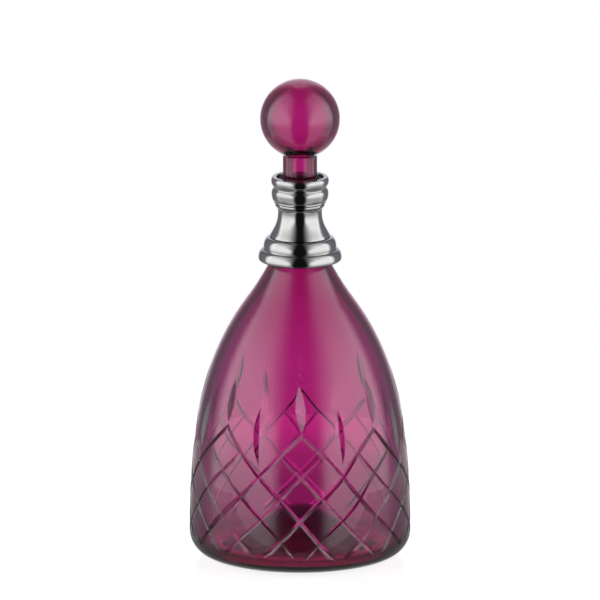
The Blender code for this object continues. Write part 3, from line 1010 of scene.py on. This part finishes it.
def bell_line(b, c):
    """Outside of the bell from its top edge, in to the waist and out to its bottom edge."""
    top, bottom = top_of("collar_bell"), foot_of("collar_bell")
    radius = b.neck_radius + GAP + c.wall
    waist, foot = (radius, top - c.waist_drop), (radius + c.bell_flare, bottom)
    flare = 0.00105  # of the top edge
    upper = ((radius + flare / 2, top - c.waist_drop / 5), (radius, top - c.waist_drop / 2))
    drop = waist[1] - bottom
    # the flare opens late, in the lower half of the drop
    lower = (
        (radius, waist[1] - 0.54 * drop),
        (radius + 0.8 * c.bell_flare, bottom + 0.21 * drop),
    )
    return bezier(((radius + flare, top), waist), upper, 12) + bezier((waist, foot), lower, 34)[1:]


def bell_bore(b, c):
    """Inside of the bell: straight on the neck, and a wall's width in from the flare."""
    top = top_of("collar_bell")
    flare = [(r - c.wall, z) for r, z in bell_line(b, c) if z <= top - c.waist_drop + 1e-6]
    return [(b.neck_radius + GAP, top)] + flare


def waist_ring_outline(b):
    """A plain ring with its two outer corners rounded."""
    low, high = span_of("collar_waist_ring")
    bore, radius = b.neck_radius + GAP, radius_of("collar_waist_ring")
    return rounded([(bore, high, "sharp"), (radius, high), (radius, low), (bore, low, "sharp")], CHAMFER)


def cup_outline(b, c):
    """Two beads and a groove outside, the mouth's recess and the neck's bore inside."""
    (low, high), radius = span_of("collar_cup"), radius_of("collar_cup")
    bore = b.neck_radius + GAP
    mouth = radius - c.lip_wall
    foot = bore + c.wall + 0.002  # stands out past the waist ring
    lip, upper, lower = 0.0006, (0.001, 0.0021), 0.0014  # rounds of the lip and the two beads
    outline = arc((mouth + lip, high - lip), (lip, lip), 180, 90, 6)
    outline += arc((radius - upper[0], high - upper[1]), upper, 90, -55, 22)
    groove = radius - 0.0011
    outline += bezier(
        ((radius - 0.00043, high - 0.00382), (groove, high - 0.0056)),
        ((radius - 0.0007, high - 0.0046), (groove, high - 0.0051)), 6,
    )[1:]
    centre = (radius - 0.0016, high - 0.0084)
    outline += arc(centre, (lower, 0.0027), 66, 0, 12)
    outline += arc(centre, (lower, 0.004), 0, -65, 14)[1:]
    # a fillet under the lower bead, with its edge broken
    outline += [(foot, low + 0.0009), (foot + 0.00002, low + 0.0002), (foot - 0.0002, low)]
    outline += [(bore, low), (bore, high - c.recess), (mouth, high - c.recess)]
    return outline


class BuildCollar(Builder, Operator):
    """Build the four turned rings of the metal collar"""

    bl_idname = "perfume.collar"
    bl_label = "Metal Collar"

    def build(self, s):
        metal = polished_metal(s.finishes)
        b, c = s.body, s.collar
        rings = {
            "collar_base_ring": base_ring_outline(b, c),
            "collar_bell": bell_line(b, c) + bell_bore(b, c)[::-1],
            "collar_waist_ring": waist_ring_outline(b),
            "collar_cup": cup_outline(b, c),
        }
        for node, outline in rings.items():
            ring = turned(node.replace("collar", "metal"), outline, metal)
            finished(ring, "bottle", "polished_metal", node)


class BuildBedding(Builder, Operator):
    """Build the bedding under the collar and the soft washer on the neck"""

    bl_idname = "perfume.bedding"
    bl_label = "Bedding and Gasket"

    def build(self, s):
        b, c = s.body, s.collar
        low, high = span_of("cement_bed")
        glass, bell = [(b.neck_radius, 1.0)] + sweep_curve(b, CURVE_STEPS), bell_bore(b, c)
        ring_foot, ring_top = span_of("collar_base_ring")
        register_bore = radius_at(bell, ring_top) - GAP - REGISTER_WALL
        heights = np.linspace(high, ring_top, 7)
        outer = [(min(radius_at(bell, z), register_bore) - GAP, z) for z in heights]
        bore = radius_of("cement_bed")
        outer += [(register_bore - GAP, ring_foot + REGISTER_FOOT - GAP)]
        outer += [(bore, ring_foot + RING_BORE - GAP), (bore, low)]
        inner = [(radius_at(glass, z) + GAP, z) for z in np.linspace(low, high, 14)]
        plaster = matt("set_plaster", s.finishes.bedding, rough=0.8, grain=900.0, depth=0.0001)
        bed = turned("set_bedding", outer + inner, plaster, sides=FINE_SIDES)
        finished(bed, "bottle", "cement", "cement_bed")
        low, high = span_of("neck_gasket")
        inner, outer = b.neck_bore + 0.0002, radius_of("neck_gasket")
        corners = [(inner, high), (outer, high), (outer, low), (inner, low)]
        middle = (low + high) / 2
        outline = rounded([(inner, middle, "sharp")] + corners + [(inner, middle - 1e-5)], 0.00015)
        silicone = matt("soft_silicone", s.finishes.gasket, rough=0.4, grain=400.0, depth=0.00002)
        washer = turned("neck_washer", outline, silicone, sides=FINE_SIDES)
        finished(washer, "bottle", "gasket", "neck_gasket")


class BuildStopper(Builder, Operator):
    """Build the hollow glass ball and stem"""

    bl_idname = "perfume.stopper"
    bl_label = "Glass Stopper"

    def build(self, s):
        p = s.stopper
        low, high = span_of("stopper_glass")
        centre = (0.0, high - p.ball)
        meeting = math.degrees(math.asin(p.stem / p.ball)) + 4.5  # where the fillet starts
        outline = arc(centre, (p.ball, p.ball), 90, meeting - 90, 72)
        r, z = outline[-1]
        outline += bezier(
            ((r, z), (p.stem, z - 1.9 * p.fillet)),
            ((r - 0.0011, z - 0.0006), (p.stem, z - p.fillet)), 8,
        )[1:]
        straight, edge = low + 0.004, 0.0005  # where the stem runs plain, and its foot's round
        outline += [(p.stem, straight)]
        outline += arc((p.stem - edge, low + edge), (edge, edge), 0, -90, 6)
        bore, hollow = p.stem - p.stem_wall, p.ball - p.ball_wall
        outline += [(bore + CHAMFER, low), (bore, low + CHAMFER), (bore, straight)]
        mouth = math.degrees(math.asin(bore / hollow)) + 16  # where the funnel opens into it
        inside = arc(centre, (hollow, hollow), mouth - 90, 90, 64)
        r, z = inside[0]
        outline += bezier(
            ((bore, z - 0.0045), (r, z)), ((bore, z - 0.0022), (r - 0.0022, z - 0.0014)), 12
        )
        outline += inside[1:]
        outline[0], outline[-1] = (0.0, high), (0.0, centre[1] + hollow)
        glass = turned("glass_stopper", outline, plum_glass(s.finishes, cut=False), closed=False)
        finished(glass, "stopper", "plum_glass", "stopper_glass")


class BuildPlug(Builder, Operator):
    """Build the moulded plug and its two seal rings"""

    bl_idname = "perfume.plug"
    bl_label = "Plug and Seals"

    def build(self, s):
        p = s.stopper
        top, tip = top_of("stopper_plug"), foot_of("stopper_plug")
        spigot = p.stem - p.stem_wall - GAP
        flange_top = foot_of("stopper_glass") - GAP
        seat = flange_top - 0.0017  # the flange's thickness
        shank = s.body.neck_bore - 0.0007  # clear of the neck
        seals = ("seal_ring_upper", "seal_ring_lower")
        rings = [sum(span_of(node)) / 2 for node in seals]
        groove = radius_of("seal_ring_upper") - 2 * p.seal_section - 0.00025  # clear of its ring
        half = 0.00125  # of a groove's width
        corners = [(0.0, top), (spigot, top), (spigot, flange_top, "sharp"), (p.stem, flange_top)]
        corners += [(p.stem, seat), (shank, seat, "sharp")]
        for z in rings:
            corners += [(shank, z + half), (groove, z + half), (groove, z - half), (shank, z - half)]
        corners += [(shank, tip + 0.0012), (shank - 0.0012, tip), (0.0, tip)]
        moulded = matt("moulded_plug", s.finishes.plug, rough=0.3, grain=600.0, depth=0.00002)
        outline = rounded(corners, CHAMFER)
        plug = turned("moulded_plug", outline, moulded, closed=False, sides=FINE_SIDES)
        finished(plug, "stopper", "moulded_plug", "stopper_plug")
        rubber = matt("seal_rubber", s.finishes.seal, rough=0.35, grain=500.0, depth=0.00002)
        for node, z in zip(seals, rings):
            centre = (radius_of(node) - p.seal_section, z)
            outline = arc(centre, (p.seal_section,) * 2, 90, -255, 23)
            seal = turned(node.replace("seal_ring", "seal"), outline, rubber, sides=FINE_SIDES)
            finished(seal, "seal_rings", "seal", node)


def studio_world(stage):
    """White all round for the camera. Reflections see a studio: two softboxes in front with a
    dark gap between them, grey sides, and a white backdrop behind. Rays that come through the
    glass see it with the gap filled in. What comes from behind has a faint violet cast."""
    world = bpy.data.worlds.new("studio")
    bpy.context.scene.world = world
    world.use_nodes = True
    tree = world.node_tree
    tree.nodes.clear()
    apart = add(tree, "ShaderNodeSeparateXYZ", Vector=coordinates(tree, "Generated")).outputs
    side, up = maths(tree, "ABSOLUTE", apart["X"]), apart["Z"]
    angle = maths(tree, "ARCTAN2", side, maths(tree, "MULTIPLY", apart["Y"], -1.0))

    def round_from_front(start, end, *levels):
        """Eases between two levels over some degrees round from the front."""
        return spread(tree, angle, math.radians(start), math.radians(end), *levels)

    def dimmed(light, factor):
        return maths(tree, "MULTIPLY", light, factor)

    # a softbox's near edge is sharp down low, and turns soft and broad higher up
    high = spread(tree, up, 0.05, 0.5)
    begins = maths(tree, "MULTIPLY_ADD", high, math.radians(-7), stage.gap - math.radians(3))
    full = maths(tree, "MULTIPLY_ADD", high, math.radians(27), stage.gap + math.radians(14))
    box = dimmed(spread(tree, angle, begins, full), round_from_front(98, 116, stage.softbox, 0.0))
    box = dimmed(box, spread(tree, up, 0.3, 0.98, 1.0, 0.35))
    box = dimmed(box, spread(tree, up, -0.36, 0.0, 0.4, 1.0))
    sides = dimmed(round_from_front(84, 112, 0.0, 0.42), round_from_front(126, 150, 1.0, 0.6))
    light = maths(tree, "ADD", box, sides)
    light = maths(tree, "MULTIPLY_ADD", round_from_front(146, 172), 0.9, light)
    light = dimmed(light, spread(tree, up, 0.86, 0.98, 1.0, 0.12))
    light = maths(tree, "ADD", light, 0.015)
    gap_filled = maths(
        tree, "MAXIMUM", maths(tree, "MINIMUM", light, 1.4), round_from_front(8, 50, 1.2, 0.0)
    )
    rays = tree.nodes.new("ShaderNodeLightPath").outputs
    light = between(tree, rays["Is Transmission Ray"], light, gap_filled)
    light = between(tree, rays["Is Camera Ray"], light, 1.0)
    unseen = maths(tree, "SUBTRACT", 1.0, rays["Is Camera Ray"])
    cast = mixed(tree, dimmed(round_from_front(95, 130), unseen), WHITE, (0.93, 0.88, 1.0))
    background = add(tree, "ShaderNodeBackground", Color=cast, Strength=light)
    add(tree, "ShaderNodeOutputWorld", Surface=background.outputs[0])


def flat_piece(name, corners, material):
    """A plain object of one flat face."""
    mesh = bpy.data.meshes.new(name)
    mesh.from_pydata(corners, [], [tuple(range(len(corners)))])
    mesh.materials.append(material)
    obj = bpy.data.objects.new(name, mesh)
    bpy.context.scene.collection.objects.link(obj)
    return obj


class BuildStage(Builder, Operator):
    """Build the floor, the studio and the camera"""

    bl_idname = "perfume.stage"
    bl_label = "Stage"

    def build(self, s):
        side, front, back, under = 0.3, 0.107, 0.3, -1e-4
        corners = [(-side, -front), (side, -front), (side, back), (-side, back)]
        corners = [(x, y, under) for x, y in corners]
        flat_piece("studio_floor", corners, floor_material(s.finishes))
        studio_world(s.stage)
        camera = bpy.data.objects.new("camera", bpy.data.cameras.new("camera"))
        camera.data.lens = s.stage.lens
        camera.data.clip_end = 50.0
        d, p = s.stage.distance, s.stage.pitch
        camera.location = (0.0, -d * math.cos(p), s.stage.aim + d * math.sin(p))
        camera.rotation_euler = (math.pi / 2 - p, 0.0, 0.0)
        scene = bpy.context.scene
        scene.collection.objects.link(camera)
        scene.camera = camera
        scene.view_settings.view_transform = "Standard"


class PerfumePanel(Panel):
    """Lists the builders and their settings"""

    bl_idname = "VIEW3D_PT_perfume_bottle"
    bl_label = "Perfume Bottle"
    bl_space_type = "VIEW_3D"
    bl_region_type = "UI"
    bl_category = "Perfume Bottle"

    def draw(self, context):
        for operator in BUILDERS:
            self.layout.operator(operator.bl_idname)
        for key in ("body", "cuts", "collar", "stopper", "finishes", "stage"):
            group = getattr(context.scene.perfume_bottle, key)
            box = self.layout.box()
            box.label(text=key.capitalize())
            for name in group.__annotations__:
                box.prop(group, name)


BUILDERS = (BuildStage, BuildBody, BuildCollar, BuildBedding, BuildStopper, BuildPlug)
GROUPS = (BodyShape, CutPattern, CollarShape, StopperShape, Finishes, StageSetup)
CLASSES = GROUPS + (PerfumeBottle,) + BUILDERS + (PerfumePanel,)


def register():
    """Registers the classes. Every setting's label is its own name."""
    for group in GROUPS:
        for key, setting in group.__annotations__.items():
            setting.keywords["name"] = key.replace("_", " ").capitalize()
    for cls in CLASSES:
        bpy.utils.register_class(cls)
    bpy.types.Scene.perfume_bottle = PointerProperty(type=PerfumeBottle)


def unregister():
    del bpy.types.Scene.perfume_bottle
    for cls in reversed(CLASSES):
        bpy.utils.unregister_class(cls)


def main():
    register()
    for operator in BUILDERS:
        group, name = operator.bl_idname.split(".")
        getattr(getattr(bpy.ops, group), name)()


if __name__ == "__main__":
    main()
